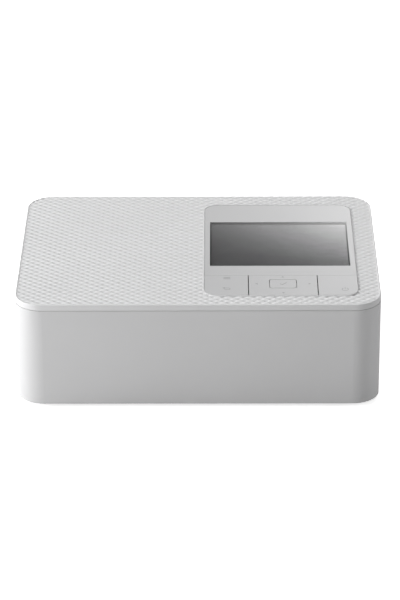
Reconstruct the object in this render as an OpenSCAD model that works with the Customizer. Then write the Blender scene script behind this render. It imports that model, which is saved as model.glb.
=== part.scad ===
// Compact photo printer. The origin is under the middle of the case, on the table.
// +X is to the right seen from the front, the front faces -Y, +Z is up.

/* [Case] */
// Width of the case
case_w = 182.2; // [180:0.1:194]
// Depth of the case
case_d = 133; // [131:0.1:142]
// Height over the feet
case_h = 57.6; // [57.4:0.1:64]
// Radius of the four upright corners
corner_r = 13.8; // [12:0.1:16]
// Wall of the case and the door
wall = 2; // [1.6:0.1:2.4]
// Thickness of the top plate
top_t = 1.6; // [1.4:0.1:1.8]
// Height of the smooth rim of the top cover
rim_h = 2.9; // [2.4:0.1:4]
// Gap line between the top cover and the walls
seam = 0.45; // [0.3:0.05:0.8]
// Height of the case over the table
foot_h = 2.6; // [2.2:0.1:3.4]
// Radius of a rubber foot
foot_r = 7; // [5:0.5:8]

/* [Control panel] */
// Width of the panel
panel_w = 76.7; // [76:0.1:80]
// Corner radius of the panel
panel_r = 6.8; // [5:0.1:8]
// Margin at the right of the panel
panel_right = 11.2; // [10:0.1:12]
// Margin in front of the panel
panel_front = 11.1; // [10.4:0.1:12]
// Margin behind the panel
panel_rear = 12.3; // [11:0.1:13]
// Width of the screen
screen_w = 71.1; // [68:0.1:72]
// Depth of the screen
screen_d = 53.6; // [50:0.1:55]
// Gap line round the panel and between the keys
key_gap = 0.45; // [0.3:0.05:0.6]
// Width of the centre key
ok_w = 13.2; // [11:0.1:14]
// Depth of the centre key
ok_d = 9.6; // [8:0.1:10]
// Width of the menu key and of the power key
side_key_w = 22; // [20:0.1:22.6]
// Downward travel of the centre key
ok_travel = 0.5; // [0.3:0.1:0.6]

/* [Mechanism] */
// Width of the paper
paper_w = 100; // [90:1:102]
// Height of the paper path over the table
paper_z = 24; // [23.6:0.1:24.4]
// Thickness of a frame plate
plate_t = 1.2; // [1:0.1:1.6]
// Radius of the roller shafts
shaft_r = 2.5; // [2:0.1:2.8]
// Radius of the platen roller
platen_r = 5; // [4.5:0.1:5.5]
// Radius of the steel grip roller
grip_r = 4; // [3.5:0.1:4.4]
// Radius of the pinch roller
pinch_r = 3; // [2.6:0.1:3.4]
// Radius of the pickup tyres
pickup_r = 7; // [6:0.1:7.4]
// Module of the gears
gear_m = 0.5; // [0.46:0.01:0.51]
// Running clearance of a shaft in its bearing, on the radius
run = 0.05; // [0.03:0.01:0.1]

/* [Ink cassette] */
// Outer radius of a ribbon tub
tub_r = 10.5; // [10:0.1:10.6]
// Wall of a tub
tub_t = 1.2; // [1:0.1:1.4]
// Radius of the fresh ribbon on its spool
roll_r = 8; // [6:0.1:8.4]

/* [Hidden] */
$fn = 48;
fit = 0.3;            // clearance between pieces that only lie beside each other
hx = case_w / 2;
hy = case_d / 2;
z_base = foot_h;                     // underside of the case
z_floor = z_base + wall;             // top of the base plate
z_rim = case_h - rim_h;              // underside of the rim
z_wall = z_rim - seam;               // top of the walls
z_plate = case_h - top_t;            // underside of the top plate
// Corner posts that tie the base, the walls and the top cover together
post_r = 3.2;
post_bore = 1.5;
post_x = hx - wall - post_r - 0.4;
post_front = -hy + 22.5;
post_back = hy - 10;
screw_r = 1.4;
head_r = 2.2;
head_h = 1.4;
// Front door: the seam lies just behind the rounded corners
door_edge = -hy + corner_r;
door_ax_y = -hy + 5;
door_ax_z = z_base + 3.4;
door_sweep = sqrt(pow(5, 2) + pow(3.4, 2)) + fit;
door_pin_r = 1.5;
door_ear_r = 2.6;
door_ear_w = 4;
door_lug_x = hx - 9;
door_lug_w = 3;
// Fascia behind the door, with the paper opening
fascia_y = door_edge + seam;
bay_z1 = paper_z + 2.4;
// Frame plates
left_x = -hx + 38;
right_x = hx - 16.6;
gear_x = left_x - 10.1;
plate_y0 = -46;
plate_y1 = 60;
roll_len = paper_w + 4;
roll_x1 = right_x - 4.5;
roll_x0 = roll_x1 - roll_len;
bay_x0 = roll_x0 - 5;
bay_x1 = right_x - 0.5;
mid_x = (roll_x0 + roll_x1) / 2;
bush_r = shaft_r + 1.2;
bush_head = 1;
// Rollers
platen_y = 21;
platen_z = paper_z - platen_r;
grip_y = -12;
grip_z = paper_z - grip_r;
pinch_z = paper_z + pinch_r + fit;
pinch_shaft_r = 1.5;
// Gears
grip_teeth = 58;
pickup_teeth = 33;
pinion_teeth = 14;
ribbon_teeth = 40;
gear_w = 2;
feed_x = left_x - gear_w - 0.9;        // inner gear layer
take_x = feed_x - gear_w - 2;          // outer gear layer
pickup_y = -32;
pickup_z = grip_z + sqrt(pow((grip_teeth + pickup_teeth) * gear_m / 2, 2) - pow(grip_y - pickup_y, 2));
feed_y = grip_y + (grip_teeth + pinion_teeth) * gear_m / 2;
feed_z = grip_z;
// Ink cassette
tub_z = paper_z + 1 + tub_r;
take_y = 7;
supply_y = 41;
cass_x0 = left_x + plate_t + 1.9;
bridge_t = 3;
cass_x1 = right_x + 1.5;
cass_y0 = take_y - tub_r - 0.5;
cass_y1 = supply_y + tub_r + 0.5;
grip_end = hx - wall - 5.6;
core_r = 4;
journal_r = 3.8;
journal_end = 1.5;                     // how far a spool stands out of the cassette, into the drive
take_roll_r = 5;
film = 0.1;
film_z = paper_z + 0.06;
// Ribbon drive
take_dist = (ribbon_teeth + pinion_teeth) * gear_m / 2;
take_ang = 10;
rib_y = take_y + take_dist * cos(take_ang);
rib_z = tub_z + take_dist * sin(take_ang);
// Print head
pivot_y = 57;
pivot_z = tub_z + tub_r + 2.1;
pivot_r = 1.5;
head_x0 = roll_x0 + 0.3;
head_x1 = roll_x1;
head_bar_z = paper_z + 1.85;
arm_z = tub_z + tub_r + 1.7;
arm_t = 1.2;
sink_y0 = take_y + tub_r + 1.2;
sink_y1 = supply_y - tub_r - 1.2;
// Ink door
ink_y0 = cass_y0 - 4;
ink_y1 = post_back - post_r - 0.7;
ink_barrel = 3.6;
ink_ax_x = hx - ink_barrel;
ink_ax_z = z_base + 8.4;
ink_top = case_h - 7.6;
ink_pin_r = 1.2;
ink_ear_r = 2.2;
ink_ear_w = 3;
ink_ears = [ink_y0 + 5, ink_y1 - 5 - ink_ear_w];
// Rear slot and its flap
slot_x0 = mid_x - paper_w / 2 - 4;
slot_x1 = mid_x + paper_w / 2 + 4;
slot_z0 = paper_z - 2;
slot_z1 = paper_z + 4.2;
flap_ax_y = hy - 1.7;
flap_ax_z = slot_z1 + 2.2;
flap_r = 1.1;
flap_pin_r = 0.8;
flap_end = 3;
rear_pad = 4;
rear_x = hx - corner_r;                // the rear panel ends where the corners begin
rear_seam = 0.15;
// Control panel
px1 = hx - panel_right;
px0 = px1 - panel_w;
py0 = -hy + panel_front;
py1 = hy - panel_rear;
panel_x = (px0 + px1) / 2;
panel_y = (py0 + py1) / 2;
panel_d = py1 - py0;
keys_d = 26.8;
strip_d = 3.9;
screen_margin = 7.5;
bezel_y0 = py0 + keys_d;        // line between the display part and the key part
strip_y = bezel_y0 - strip_d;   // front edge of the fixed strip behind the keys
hinge_line = 0.12;              // gap between the strip and the keys
front_gap = key_gap + 0.4;      // room for the four-way pad to tilt
screen_y = bezel_y0 + screen_margin + screen_d / 2;
flange = 2;
flange_t = 1;
win_flange = 0.6;
win_lip = 1.4;
gasket_t = 0.4;
z_lcd = z_plate - win_flange - gasket_t;
lcd_t = 2.6;
light_t = 2;
key_t = top_t;
key_y0 = py0;
z_frame = z_plate - 2.9;     // top of the key frame's plate
frame_t = 1;
z_board = z_frame - frame_t - 0.4;
board_t = 1.2;
dome_h = 1.3;
dome_r = 2.4;
plunger_r = 1.1;
nav_plunger_r = 0.7;
plunger_z = z_board + dome_h + 0.5;
key_ax_z = z_plate - 1.4;
key_pin_r = 0.8;
lug_w = 2;
lug_r = 1.2;
menu_x0 = px0;
menu_x1 = px0 + side_key_w - key_gap / 2;
pow_x0 = px1 - side_key_w + 2 + key_gap / 2;
nav_x0 = menu_x1 + key_gap;
nav_x1 = pow_x0 - key_gap;
nav_cx = (nav_x0 + nav_x1) / 2;
nav_cy = strip_y - 9.8;
menu_cx = (menu_x0 + menu_x1) / 2;
menu_cy = (key_y0 + strip_y) / 2;
pow_cx = (pow_x0 + px1) / 2;
pow_cy = strip_y - 2.2;
ring_x = 12;
ring_y = ok_d / 2 + 3.1;
ring_bar = 1.7;
ring_t = 1.4;
// Boards
pcb_t = 1.6;
z_main = z_plate - 4;       // top face of the main board
main_x0 = -hx + 5;
main_x1 = px0 - 6;
main_y0 = post_front + post_r + 2;
main_y1 = post_back - post_r - 2;
card_w = 25;
card_y = main_y0 + 24;
usb_y = card_y + 26;
power_x0 = -hx + 5;
power_x1 = gear_x - 4;
power_y0 = post_front + post_r + 1;
power_y1 = -10;
z_power = z_floor + 4;
jack_x = -hx + 22;
jack_z = z_floor + 8;

// ---- shapes used throughout ----

// Box from its lowest to its highest corner
module span(a, b) translate(a) cube(b - a);

// Rounded rectangle, centred
module rounded(w, d, r) {
    square([w - 2 * r, d], center = true);
    square([w, d - 2 * r], center = true);
    for (x = [-1, 1], y = [-1, 1])
        translate([x * (w / 2 - r), y * (d / 2 - r)])
            circle(r);
}

// Upright slab with rounded corners
module slab(w, d, r, z0, z1, x = 0, y = 0)
    translate([x, y, z0])
        linear_extrude(z1 - z0)
            rounded(w, d, r);

// Round bars along X, Y and Z
module bar_x(r, x0, x1, y, z) translate([x0, y, z]) rotate([0, 90, 0]) cylinder(r = r, h = x1 - x0);
module bar_y(r, y0, y1, x, z) translate([x, y0, z]) rotate([-90, 0, 0]) cylinder(r = r, h = y1 - y0);
module bar_z(r, z0, z1, x, y) translate([x, y, z0]) cylinder(r = r, h = z1 - z0);

// Tube along Z and along X
module tube_z(r, bore, z0, z1, x, y)
    translate([x, y, z0])
        difference() {
            cylinder(r = r, h = z1 - z0);
            translate([0, 0, -1]) cylinder(r = bore, h = z1 - z0 + 2);
        }
module tube_x(r, bore, x0, x1, y, z)
    translate([x0, y, z])
        rotate([0, 90, 0])
            difference() {
                cylinder(r = r, h = x1 - x0);
                translate([0, 0, -1]) cylinder(r = bore, h = x1 - x0 + 2);
            }

// Profile in the Y-Z plane, drawn as (y, z), extruded along X
module along_x(x0, x1) translate([x0, 0, 0]) rotate([90, 0, 90]) linear_extrude(x1 - x0) children();

// Pan-head screw, head down, shank up
module screw_up(x, y, z, length) {
    bar_z(head_r, z - head_h, z, x, y);
    bar_z(screw_r, z, z + length, x, y);
}

// Outline of one gear: straight-flanked teeth, centred on angle 0
module gear_outline(teeth, m) {
    r = teeth * m / 2;
    add = 0.9 * m;
    ded = 1.2 * m;
    half = m * PI / 4 - 0.06;
    tip = half - add * tan(20);
    root = half + ded * tan(20);
    circle(r - ded);
    for (i = [0:teeth - 1])
        rotate(i * 360 / teeth)
            polygon([[r - ded - 0.3, -root], [r - ded, -root], [r + add, -tip],
                     [r + add, tip], [r - ded, root], [r - ded - 0.3, root]]);
}

// Spur gear on a shaft along X
module spur(teeth, x0, w, y, z, bore, turn = 0)
    translate([x0, y, z])
        rotate([90, 0, 90])
            linear_extrude(w)
                difference() {
                    rotate(turn) gear_outline(teeth, gear_m);
                    circle(bore);
                }

// Turn that puts a driven gear in mesh with a gear whose tooth points along angle 0
function mesh_turn(dir, driver, driven) = dir + 180 + (180 + dir * driver) / driven;

// ---- case ----

module posts() for (x = [-1, 1], y = [post_front, post_back]) translate([x * post_x, y, 0]) children();
foot_y0 = -hy + 26 + foot_r;
foot_y1 = hy - 20;
module feet_at() for (x = [-1, 1], y = [foot_y0, foot_y1]) translate([x * (hx - 17), y, 0]) children();

// Base plate with the door's hinge ears
module base() color("gainsboro") {
    base_y0 = door_ax_y + door_sweep;
    difference() {
        union() {
            intersection() {
                slab(case_w - 2 * wall - 2 * fit, case_d - 2 * wall - 2 * fit, corner_r - wall - fit,
                     z_base, z_floor);
                span([-hx, base_y0, 0], [hx, hy, case_h]);
            }
            for (x = [power_x0 + 4, power_x1 - 4], y = [power_y0 + 4, power_y1 - 4])
                tube_z(2.6, screw_r, z_floor - 0.5, z_power, x, y);
            for (s = [-1, 1]) door_ear(s);
        }
        posts() bar_z(screw_r + 0.2, 0, case_h, 0, 0);
        posts() bar_z(head_r + 0.2, z_base - 1, z_base + 1, 0, 0);
        feet_at() bar_z(foot_r + 0.05, z_base - 1, z_base + 1.2, 0, 0);
        frame_feet() bar_z(screw_r + 0.2, 0, case_h, 0, 0);
        frame_feet() bar_z(head_r + 0.2, z_base - 1, z_base + head_h, 0, 0);
        for (i = [0:9], x = [-50, 32])
            translate([x + i * 4, -24, 0]) span([0, 0, z_base - 1], [1.6, 22, z_floor + 1]);
        for (s = [-1, 1])
            bar_x(door_pin_r + run, s * door_lug_x - 20, s * door_lug_x + 20, door_ax_y, door_ax_z);
    }
}

// One ear with the bearing of a front-door pin; s is the side
module door_ear(s) {
    x1 = s * (door_lug_x - door_lug_w - fit);
    x0 = x1 - s * door_ear_w;
    ear = [min(x0, x1), max(x0, x1)];
    bar_x(door_ear_r, ear[0], ear[1], door_ax_y, door_ax_z);
    span([ear[0], door_ax_y, door_ax_z - 1.6], [ear[1], fascia_y + 1.5, door_ax_z + 3]);
    span([ear[0], fascia_y - 2.5, z_base], [ear[1], fascia_y + 1.5, door_ax_z + 3]);
}

// Ring of the side and rear walls between two planes of X
module walls(x0, x1)
    difference() {
        slab(case_w, case_d, corner_r, z_base, z_wall);
        slab(case_w - 2 * wall, case_d - 2 * wall, corner_r - wall, z_base - 1, z_wall + 1);
        span([-hx - 1, -hy - 1, 0], [hx + 1, fascia_y, case_h]);
        span([-hx - 1, -hy - 1, 0], [x0, hy + 1, case_h]);
        span([x1, -hy - 1, 0], [hx + 1, hy + 1, case_h]);
    }

// Left wall with its rear corner, the card slot and the socket
module side_left() color("whitesmoke")
    difference() {
        walls(-hx - 1, -rear_x);
        span([-hx - 1, card_y - card_w / 2, z_main - 3.3], [-hx + wall + 1, card_y + card_w / 2, z_main - 0.4]);
        span([-hx - 1, usb_y - 4.7, z_main - 3.8], [-hx + wall + 1, usb_y + 4.7, z_main - 0.2]);
    }

// Right wall with its rear corner and the opening of the ink door
module side_right() color("whitesmoke") {
    difference() {
        walls(rear_x, hx + 1);
        span([hx - wall - 1, ink_y0 - fit, ink_ax_z - ink_barrel - fit],
             [hx + 1, ink_y1 + fit, ink_top + fit]);
    }
    // ears that carry the ink door's pins
    for (y = ink_ears)
        difference() {
            union() {
                bar_y(ink_ear_r, y, y + ink_ear_w, ink_ax_x, ink_ax_z);
                span([ink_ax_x - 6.5, y, ink_ax_z + 0.2], [ink_ax_x, y + ink_ear_w, ink_ax_z + ink_ear_r]);
                span([ink_ax_x - 6.5, y, z_floor + fit],
                     [ink_ax_x - 4.3, y + ink_ear_w, ink_ax_z + ink_ear_r]);
                span([ink_ax_x - 6.5, y, z_floor + fit], [hx - wall + 0.5, y + ink_ear_w, z_floor + fit + 1.6]);
            }
            bar_y(ink_pin_r + run, y - 1, y + ink_ear_w + 1, ink_ax_x, ink_ax_z);
        }
}

// Rear panel with the paper slot, the air slots and the power inlet
module rear_panel() color("whitesmoke")
    difference() {
        union() {
            walls(-rear_x + rear_seam, rear_x - rear_seam);
            span([slot_x0 - 5, hy - rear_pad, slot_z0 - 4],
                 [min(slot_x1 + 5, rear_x - rear_seam), hy - 0.5, flap_ax_z + 4]);
        }
        // paper slot, the flap's recess and the bearings of its pins
        span([slot_x0, hy - rear_pad - 1, slot_z0], [slot_x1, hy + 1, slot_z1]);
        span([slot_x0 - flap_end - fit, hy - 2.9, slot_z0 - 1.3],
             [slot_x1 + flap_end + fit, hy + 1, flap_ax_z + flap_r + fit]);
        bar_x(flap_pin_r + run, slot_x0 - flap_end - 1.9, slot_x1 + flap_end + 1.9, flap_ax_y, flap_ax_z);
        bar_y(4.2, hy - wall - 1, hy + 1, jack_x, jack_z);
        for (i = [0:8])
            translate([slot_x0 - 26 + i * 4, 0, 0])
                span([0, hy - wall - 1, z_wall - 14], [1.8, hy + 1, z_wall - 6]);
    }

// Inner front behind the door, with the paper opening
module fascia() color("whitesmoke") {
    edge = hx - wall - fit / 2;
    flange_t = 1.6;
    flange_d = 2.5;
    difference() {
        union() {
            span([-edge, fascia_y, z_floor], [edge, fascia_y + wall, z_wall]);
            for (s = [-1, 1])
                span([min(s * edge, s * (edge - flange_t)), fascia_y, z_floor],
                     [max(s * edge, s * (edge - flange_t)), fascia_y + wall + flange_d, z_wall - wall]);
        }
        span([bay_x0, fascia_y - 1, z_base], [bay_x1, fascia_y + wall + 1, bay_z1]);
        // room for the key part of the control panel
        span([px0 - flange - 1, fascia_y - 1, z_board - board_t - 0.8],
             [px1 + flange + 1, fascia_y + wall + 1, z_wall + 1]);
        // clearance round the hinge ears of the base
        for (s = [-1, 1])
            translate([s * (door_lug_x - door_lug_w - fit - door_ear_w / 2), 0, 0])
                span([-door_ear_w / 2 - fit, fascia_y - 1, z_base - 1],
                     [door_ear_w / 2 + fit, fascia_y + wall + 1, door_ax_z + 3 + fit]);
    }
}

// Pillars between the base and the top cover, trimmed clear of the walls
module case_posts() color("whitesmoke")
    intersection() {
        posts() tube_z(post_r, post_bore, z_floor, z_wall, 0, 0);
        slab(case_w - 2 * wall - 2 * fit, case_d - 2 * wall - 2 * fit, corner_r - wall - fit, z_base, case_h);
    }

// Top cover: textured plate, smooth rim, lip inside the walls and hanging bosses
module top_cover() color("gainsboro") {
    difference() {
        union() {
            slab(case_w, case_d, corner_r, z_plate, case_h);
            difference() {
                slab(case_w, case_d, corner_r, z_rim, z_plate + 0.5);
                slab(case_w - 2 * wall, case_d - 2 * wall, corner_r - wall, z_rim - 1, z_plate);
            }
            difference() {
                lip_w = case_w - 2 * wall - 2 * fit;
                lip_d = case_d - 2 * wall - 2 * fit;
                slab(lip_w, lip_d, corner_r - wall - fit, z_rim - 1.6, z_plate + 0.5);
                slab(lip_w - 2.4, lip_d - 2.4, corner_r - wall - fit - 1.2, z_rim - 2, z_plate);
                span([-hx, fascia_y - 2, 0], [hx, fascia_y + wall + 2, z_rim]);
                posts() bar_z(post_r + 0.4, 0, z_rim, 0, 0);
                span([slot_x0 - 6, hy - 8, 0], [slot_x1 + 6, hy, z_rim - 1]);
            }
            posts() bar_z(post_r, z_wall, z_plate + 0.5, 0, 0);
            posts() bar_z(post_bore - 0.05, z_wall - 5, z_wall + 0.5, 0, 0);
            main_holes() bar_z(2.6, z_main, z_plate + 0.5, 0, 0);
            panel_holes() bar_z(2.4, z_plate - flange_t, z_plate + 0.5, 0, 0);
        }
        slab(panel_w + 2 * key_gap, panel_d + key_gap + front_gap, panel_r + key_gap, z_plate - 1, case_h + 1,
             panel_x, panel_y + (key_gap - front_gap) / 2);
        main_holes() bar_z(screw_r, z_main - 1, z_plate, 0, 0);
        panel_holes() bar_z(screw_r, z_rim, z_plate + 0.5, 0, 0);
    }
}
module main_holes()
    for (x = [main_x0 + 5, main_x1 - 5], y = [main_y0 + 5, main_y1 - 5])
        translate([x, y, 0]) children();
ear_out = 4.8;
ear_half = 2.4;
module panel_holes()
    for (x = [px0 - ear_out, px1 + ear_out], y = [bezel_y0 + 12, py1 - 12, strip_y - 2])
        translate([x, y, 0]) children();

// Full-width front door with its lugs and hinge pins
module front_door() color("whitesmoke") {
    reach = z_wall - door_ax_z;
    side = door_edge - door_ax_y;
    intersection() {
        difference() {
            slab(case_w, case_d, corner_r, z_base, z_wall);
            slab(case_w - 2 * wall, case_d - 2 * wall, corner_r - wall, z_base - 1, z_wall + 1);
            span([-hx - 1, door_edge, 0], [hx + 1, hy + 1, case_h]);
        }
        union() {
            bar_x(reach, -hx - 1, hx + 1, door_ax_y, door_ax_z);
            span([-hx - 1, -hy - 1, 0], [hx + 1, door_ax_y, case_h]);
        }
        union() {
            bar_x(side, -hx - 1, hx + 1, door_ax_y, door_ax_z);
            span([-hx - 1, -hy - 1, door_ax_z], [hx + 1, hy, case_h]);
        }
    }
    for (s = [-1, 1]) {
        in = s * (door_lug_x - door_lug_w);
        lug = [min(in, s * door_lug_x), max(in, s * door_lug_x)];
        difference() {
            span([lug[0], -hy + wall - 0.4, door_ax_z - 2.6], [lug[1], door_ax_y, door_ax_z + 2.6]);
            span([-hx, -hy - 1, 0], [hx, -hy + 1, case_h]);
        }
        bar_x(2.6, lug[0], lug[1], door_ax_y, door_ax_z);
        tip = in - s * (fit + door_ear_w + 0.5);
        bar_x(door_pin_r, min(in, tip), max(in, tip), door_ax_y, door_ax_z);
    }
    // stiffening ribs of the inner face
    rib_pitch = case_w * 0.22;
    for (x = [-1.5, -0.5, 0.5, 1.5] * rib_pitch)
        span([x - 0.6, -hy + wall - 0.3, door_ax_z + 6], [x + 0.6, -hy + wall + 2, z_wall - 5]);
}

// Door over the ink cassette, with a barrel along its lower edge
module ink_door() color("whitesmoke") {
    difference() {
        union() {
            span([hx - wall, ink_y0, ink_ax_z], [hx, ink_y1, ink_top]);
            intersection() {
                bar_y(ink_barrel, ink_y0, ink_y1, ink_ax_x, ink_ax_z);
                span([ink_ax_x, ink_y0, 0], [hx, ink_y1, case_h]);
            }
        }
        for (y = ink_ears)
            bar_y(ink_ear_r + fit, y - fit, y + ink_ear_w + fit, ink_ax_x, ink_ax_z);
        for (y = ink_ears)
            span([0, y - fit, ink_ax_z - fit], [hx - wall, y + ink_ear_w + fit, ink_ax_z + 4]);
        // finger notch in the upper edge
        bar_y(3, (ink_y0 + ink_y1) / 2 - 9, (ink_y0 + ink_y1) / 2 + 9, hx + 1.6, ink_top);
    }
    for (y = ink_ears)
        bar_y(ink_pin_r, y - fit - 0.5, y + ink_ear_w + fit + 0.5, ink_ax_x, ink_ax_z);
    // rib that steadies the cassette's grip
    span([hx - wall - 1.2, ink_y0 + 6, tub_z + 2], [hx - wall + 0.3, ink_y1 - 6, tub_z + 3.4]);
}

// Dust flap of the rear paper slot
module rear_flap() color("gainsboro") {
    x0 = slot_x0 - flap_end;
    x1 = slot_x1 + flap_end;
    bar_x(flap_r, x0, x1, flap_ax_y, flap_ax_z);
    bar_x(flap_pin_r, x0 - 1.6, x1 + 1.6, flap_ax_y, flap_ax_z);
    span([x0, flap_ax_y - 0.1, slot_z0 - 1], [x1, flap_ax_y + flap_r, flap_ax_z]);
}

module rubber_feet() color("dimgray")
    feet_at() {
        bar_z(foot_r - 0.8, 0, 0.6, 0, 0);
        bar_z(foot_r, 0.5, z_base + 1.2, 0, 0);
    }

// ---- control panel ----

// Part of the panel between two depths, as a flat outline
module panel_part(y0, y1)
    intersection() {
        translate([panel_x, panel_y]) rounded(panel_w, panel_d, panel_r);
        translate([px0 - 1, y0]) square([panel_w + 2, y1 - y0]);
    }

module display_bezel() color("lightgray") {
    difference() {
        union() {
            translate([0, 0, z_plate - 0.3])
                linear_extrude(top_t + 0.3)
                    panel_part(bezel_y0, py1);
            span([px0 - flange, bezel_y0, z_plate - flange_t], [px1 + flange, py1 + flange, z_plate]);
            for (x = [px0 - ear_out, px1 + ear_out], y = [bezel_y0 + 12, py1 - 12])
                span([min(x - ear_half, panel_x), y - 3, z_plate - 2 * flange_t],
                     [max(x + ear_half, panel_x), y + 3, z_plate - flange_t]);
            span([px0 - flange, screen_y - screen_d / 2 - 4, z_lcd - lcd_t],
                 [px1 + flange, screen_y + screen_d / 2 + 4, z_plate - 0.5]);
        }
        span([panel_x - screen_w / 2 - 0.1, screen_y - screen_d / 2 - 0.1, z_plate - 3],
             [panel_x + screen_w / 2 + 0.1, screen_y + screen_d / 2 + 0.1, case_h + 1]);
        span([panel_x - screen_w / 2 - win_lip - fit, screen_y - screen_d / 2 - win_lip - fit, 0],
             [panel_x + screen_w / 2 + win_lip + fit, screen_y + screen_d / 2 + win_lip + fit, z_plate]);
        for (x = [px0 - ear_out, px1 + ear_out], y = [bezel_y0 + 12, py1 - 12])
            bar_z(screw_r + 0.2, 0, z_plate, x, y);
    }
}

module screen_box(grow, z0, z1)
    span([panel_x - screen_w / 2 - grow, screen_y - screen_d / 2 - grow, z0],
         [panel_x + screen_w / 2 + grow, screen_y + screen_d / 2 + grow, z1]);

module display_window() color("slategray") {
    screen_box(0, z_plate - win_flange, case_h);
    screen_box(win_lip, z_plate - win_flange, z_plate);
}
module screen_gasket() color("black")
    difference() {
        screen_box(win_lip, z_lcd, z_lcd + gasket_t);
        screen_box(-0.6, z_lcd - 1, z_lcd + gasket_t + 1);
    }
// Display glass on its wider backlight
module lcd_module() color("darkslategray") {
    screen_box(win_lip, z_lcd - lcd_t, z_lcd);
    screen_box(win_lip + fit + 2, z_lcd - lcd_t - light_t, z_lcd - lcd_t);
}

// Ears with snap-in bearings, beside the lugs of a key that turns about X
module key_ears(cx, half, y)
    for (s = [-1, 1])
        translate([cx + s * (half + fit), 0, 0])
            mirror([s < 0 ? 1 : 0, 0, 0])
                difference() {
                    span([0, y - lug_r, z_frame], [lug_w, y + lug_r, key_ax_z + 0.5]);
                    bar_x(key_pin_r + run, -1, lug_w + 1, y, key_ax_z);
                }

// Lugs with pins under a key that turns about X
module key_lugs(cx, half, y)
    for (s = [-1, 1])
        translate([cx + s * half, 0, 0])
            mirror([s < 0 ? 0 : 1, 0, 0]) {
                bar_x(lug_r, 0, lug_w, y, key_ax_z);
                span([0, y - lug_r, key_ax_z], [lug_w, y + lug_r, z_plate + 0.2]);
                bar_x(key_pin_r, -fit - lug_w + 0.2, 0.1, y, key_ax_z);
            }

key_half = 6;
nav_reach_x = (nav_x1 - nav_x0) / 2 - 1.7;
nav_reach_y = nav_cy - key_y0 - 2;
// Where each key presses the board, as [x, y]
presses = [
    [menu_cx, menu_cy + 8], [menu_cx, menu_cy - 8], [pow_cx, pow_cy - 13],
    [nav_cx - nav_reach_x, nav_cy], [nav_cx + nav_reach_x, nav_cy],
    [nav_cx, nav_cy - nav_reach_y], [nav_cx + 4, nav_cy + ring_y + 0.95], [nav_cx, nav_cy]
];
board_pegs = [for (x = [px0 + 3, px1 - 3], y = [strip_y - 6, strip_y - 17]) [x, y]];

// Frame under the keys, with the fixed strip behind them
module key_frame() color("lightgray") {
    y1 = bezel_y0 - 0.06;
    difference() {
        union() {
            translate([0, 0, z_plate - 0.3]) linear_extrude(top_t + 0.3) panel_part(strip_y, y1);
            span([px0 - flange, py0 - flange, z_frame], [px1 + flange, y1, z_plate]);
            for (x = [px0 - ear_out, px1 + ear_out])
                span([min(x - ear_half, px0), strip_y - 5, z_plate - 2 * flange_t],
                     [max(x + ear_half, px1), strip_y + 1, z_plate - flange_t]);
        }
        span([px0 - 0.4, py0 - 0.4, z_frame - 1], [px1 + 0.4, strip_y, z_plate + 1]);
        span([px0 - 0.4, strip_y - 1, z_frame - 1], [px1 + 0.4, strip_y + 0.6, z_plate - 0.3]);
        for (x = [px0 - ear_out, px1 + ear_out]) bar_z(screw_r + 0.2, 0, z_plate, x, strip_y - 2);
    }
}

// Floor of the key frame, with the holes for the keys' studs and the pegs of the board
module key_deck() color("lightgray") {
    difference() {
        span([px0 - flange, py0 - flange, z_frame - frame_t], [px1 + flange, bezel_y0 - 0.06, z_frame]);
        for (p = presses) bar_z(dome_r + 0.4, 0, z_plate, p[0], p[1]);
    }
    for (p = board_pegs) {
        bar_z(1.6, z_board, z_frame - frame_t + 0.1, p[0], p[1]);
        bar_z(0.8, z_board - board_t - 0.4, z_board + 0.1, p[0], p[1]);
    }
}

// Bearing blocks of the keys, on the deck
module key_bearings() color("dimgray") {
    key_ears(menu_cx, key_half, menu_cy);
    key_ears(pow_cx, key_half, pow_cy);
    key_ears(nav_cx, ring_x, nav_cy);
}

// Outline of one key between two sides of the panel
module key_outline(x0, x1)
    intersection() {
        panel_part(key_y0, strip_y - hinge_line);
        translate([x0, key_y0 - 1]) square([x1 - x0, strip_y - key_y0 + 2]);
    }
// The upper face of each key is flush with the panel
module key_plate(x0, x1) translate([0, 0, z_plate]) linear_extrude(key_t) key_outline(x0, x1);

module menu_key() color("lightgray") {
    key_plate(menu_x0, menu_x1);
    key_lugs(menu_cx, key_half, menu_cy);
    for (i = [0, 1]) bar_z(plunger_r, plunger_z, z_plate + 0.1, presses[i][0], presses[i][1]);
}
module power_key() color("lightgray") {
    key_plate(pow_x0, px1);
    key_lugs(pow_cx, key_half, pow_cy);
    bar_z(plunger_r, plunger_z, z_plate + 0.1, presses[2][0], presses[2][1]);
}
// Four-way pad round the centre key
module nav_pad() color("lightgray") {
    difference() {
        key_plate(nav_x0, nav_x1);
        slab(ok_w + 2 * fit, ok_d + 2 * fit, 1 + fit, z_plate - 1, case_h + 1, nav_cx, nav_cy);
    }
    for (i = [3:6]) bar_z(nav_plunger_r, plunger_z, z_plate + 0.1, presses[i][0], presses[i][1]);
    for (s = [-1, 1])
        translate([nav_cx, nav_cy, 0])
            rotate(s < 0 ? 180 : 0) {
                bar_y(lug_r, ring_y + fit, ring_y + fit + 1.4, 0, key_ax_z);
                span([-lug_r, ring_y + fit, key_ax_z], [lug_r, ring_y + fit + 1.4, z_plate + 0.2]);
                bar_y(key_pin_r, ring_y - ring_bar + 0.2, ring_y + fit + 0.1, 0, key_ax_z);
            }
}
module ok_key() color("lightgray") {
    slab(ok_w, ok_d, 1, z_plate - 0.1, case_h, nav_cx, nav_cy);
    slab(ok_w + 2, ok_d + 2, 1, z_plate - 1, z_plate - 0.05, nav_cx, nav_cy);
    bar_z(plunger_r + 0.6, z_board + dome_h + ok_travel + 0.2, z_plate - 0.9, nav_cx, nav_cy);
}
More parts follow.
